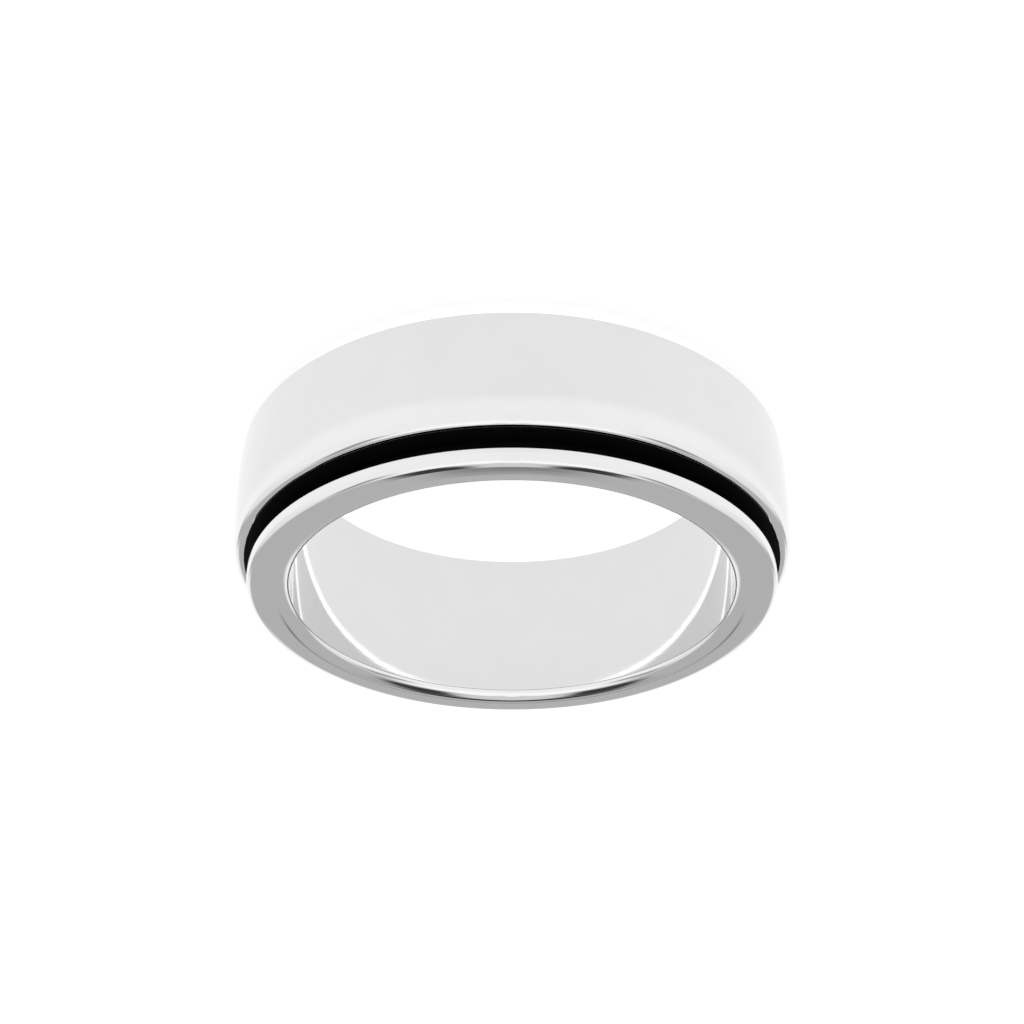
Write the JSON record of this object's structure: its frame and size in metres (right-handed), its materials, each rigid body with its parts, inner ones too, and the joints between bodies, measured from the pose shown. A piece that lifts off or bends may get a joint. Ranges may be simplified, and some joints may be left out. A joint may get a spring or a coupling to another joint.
{
  "type": "spinner ring",
  "caption": "Finger ring whose plain, slightly domed outer band turns freely in the groove of a flanged inner sleeve.",
  "frame": {"origin": "centre of the finger hole in the plane of the lower rim, which rests on the surface", "axes": "+Z along the axis of the finger hole, from the rim with the retaining lip up to the rim with the flange"},
  "size_m": [0.0228, 0.0228, 0.0072],
  "materials": {
    "sleeve_silver": "polished sterling silver, blackened in the groove",
    "spinner_silver": "polished sterling silver, blackened on its two sides"
  },
  "bodies": {
    "sleeve": {"inner_band": "sleeve_silver"},
    "spinner": {"spinner_band": "spinner_silver"}
  },
  "joints": [
    {"name": "spin", "type": "hinge", "parent": "sleeve", "child": "spinner", "pos_m": [0, 0, 0.00335], "axis": [0, 0, 1], "continuous": true}
  ]
}
